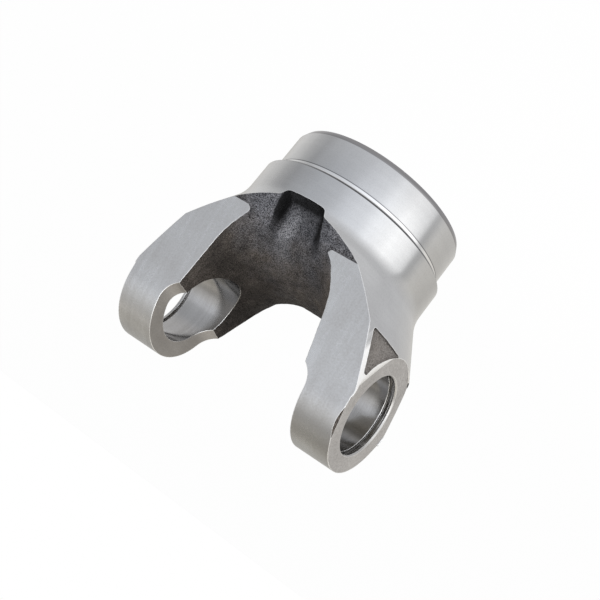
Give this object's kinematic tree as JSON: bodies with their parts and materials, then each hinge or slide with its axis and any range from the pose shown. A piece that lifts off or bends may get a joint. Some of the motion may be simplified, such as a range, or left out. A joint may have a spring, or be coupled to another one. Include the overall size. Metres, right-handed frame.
{
  "type": "weld yoke",
  "caption": "Forged steel weld yoke: two ears with a cross bore for bearing caps, joined by a round hub that is pressed into a shaft tube and welded.",
  "frame": {"origin": "centre of the hub's end face, on which the yoke stands", "axes": "+Z along the tube axis towards the ears, X along the cross bore"},
  "size_m": [0.099, 0.0776, 0.0936],
  "materials": {
    "steel": "turned and milled faces, with as-forged grey scale in the throat, the pockets and beside the spot faces"
  },
  "bodies": {
    "root": {"yoke": "steel"}
  },
  "joints": []
}
